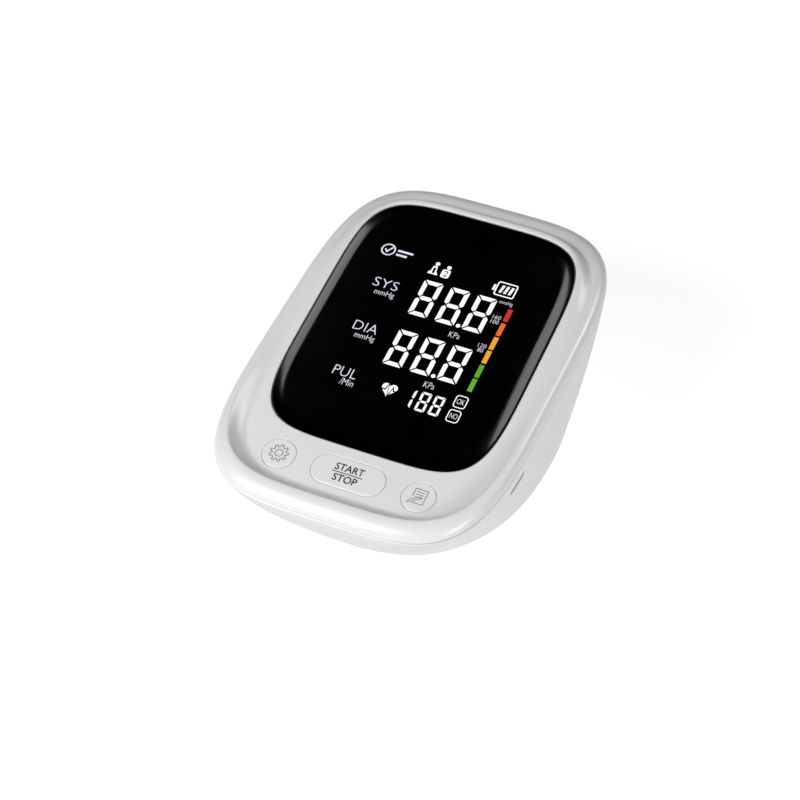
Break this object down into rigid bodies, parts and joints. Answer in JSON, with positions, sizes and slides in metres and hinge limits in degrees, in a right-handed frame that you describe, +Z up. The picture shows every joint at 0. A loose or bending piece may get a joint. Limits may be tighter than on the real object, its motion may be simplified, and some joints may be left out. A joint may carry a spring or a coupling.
{
  "type": "upper arm blood pressure monitor",
  "caption": "Desk blood pressure monitor: white case with a sloped black display lens, press keys, battery door, inner air pump and a side socket for the cuff hose.",
  "frame": {"origin": "on the table plane under the middle of the case", "axes": "+X to the user's right, +Y to the rear along the length, +Z up; the display faces up and towards -Y"},
  "size_m": [0.097, 0.138, 0.0546],
  "materials": {
    "case_white": "white moulded ABS, satin gloss",
    "key_white": "white moulded ABS key caps, satin",
    "lens_black": "piano black acrylic, high gloss",
    "foot_rubber": "dark grey rubber, matte",
    "steel": "zinc plated steel",
    "contact_nickel": "nickel plated spring steel",
    "board_green": "green solder mask",
    "reflector_white": "white moulded nylon",
    "film_black": "dark printed film",
    "part_black": "black moulded plastic",
    "switch_tin": "tinned steel cover",
    "cell_jacket": "printed film jacket over a metal can",
    "motor_steel": "plated steel can",
    "rotor_copper": "steel shaft with copper windings",
    "valve_brass": "turned brass",
    "foam_grey": "soft grey foam",
    "hose_clear": "milky silicone",
    "socket_grey": "light grey nylon",
    "lead_red": "PVC sleeve",
    "lead_black": "PVC sleeve"
  },
  "bodies": {
    "case": {"top_cover": "case_white", "bottom_cover": "case_white", "display_lens": "lens_black", "foot_front_left": "foot_rubber", "foot_front_right": "foot_rubber", "foot_rear_left": "foot_rubber", "foot_rear_right": "foot_rubber", "case_screw_front_left": "steel", "case_screw_front_right": "steel", "case_screw_rear_left": "steel", "case_screw_rear_right": "steel", "board_screw_front_left": "steel", "board_screw_front_right": "steel", "board_screw_rear_left": "steel", "board_screw_rear_right": "steel", "power_socket": "steel", "battery_contact_left_front": "contact_nickel", "battery_contact_left_middle": "contact_nickel", "battery_contact_left_rear": "contact_nickel", "battery_contact_right_front": "contact_nickel", "battery_contact_right_rear": "contact_nickel", "exhaust_valve_spring": "contact_nickel", "main_board": "board_green", "led_reflector": "reflector_white", "diffuser_film": "film_black", "control_chip": "part_black", "buzzer": "part_black", "pressure_sensor": "part_black", "pump_end_cap": "part_black", "pump_head": "part_black", "start_stop_switch": "switch_tin", "settings_switch": "switch_tin", "memory_switch": "switch_tin", "battery_cell_1": "cell_jacket", "battery_cell_2": "cell_jacket", "battery_cell_3": "cell_jacket", "battery_cell_4": "cell_jacket", "pump_motor_can": "motor_steel", "exhaust_valve_body": "motor_steel", "pump_cradle": "foam_grey", "hose_socket": "hose_clear", "hose_pump": "hose_clear", "hose_valve": "hose_clear", "hose_sensor": "hose_clear", "air_socket": "socket_grey", "air_tee": "socket_grey", "pump_lead_red": "lead_red", "pump_lead_black": "lead_black"},
    "start_stop_key": {"start_stop_button": "key_white", "start_stop_switch_plunger": "part_black"},
    "settings_key": {"settings_button": "key_white", "settings_switch_plunger": "part_black"},
    "memory_key": {"memory_button": "key_white", "memory_switch_plunger": "part_black"},
    "door": {"battery_door": "case_white"},
    "rotor": {"pump_rotor": "rotor_copper"},
    "valve_stem": {"exhaust_valve_plunger": "valve_brass"}
  },
  "joints": [
    {"name": "start_stop_press", "type": "slide", "parent": "case", "child": "start_stop_key", "axis": [0, 0.2419, -0.9703], "range_m": [0, 0.0008], "stiffness_N_per_m": 400, "springref_m": -0.0008},
    {"name": "settings_press", "type": "slide", "parent": "case", "child": "settings_key", "axis": [0, 0.2419, -0.9703], "range_m": [0, 0.0008], "stiffness_N_per_m": 400, "springref_m": -0.0008},
    {"name": "memory_press", "type": "slide", "parent": "case", "child": "memory_key", "axis": [0, 0.2419, -0.9703], "range_m": [0, 0.0008], "stiffness_N_per_m": 400, "springref_m": -0.0008},
    {"name": "battery_door_hinge", "type": "hinge", "parent": "case", "child": "door", "pos_m": [0, -0.0355, 0.003], "axis": [-1, 0, 0], "range_deg": [0, 75], "stiffness_Nm_per_rad": 0.2},
    {"name": "pump_spin", "type": "hinge", "parent": "case", "child": "rotor", "pos_m": [0, 0.0365, 0.0156], "axis": [1, 0, 0], "continuous": true},
    {"name": "valve_stroke", "type": "slide", "parent": "case", "child": "valve_stem", "axis": [0, 0, -1], "range_m": [0, 0.0015], "stiffness_N_per_m": 300, "springref_m": -0.0005, "deforming": ["exhaust_valve_spring"]}
  ]
}
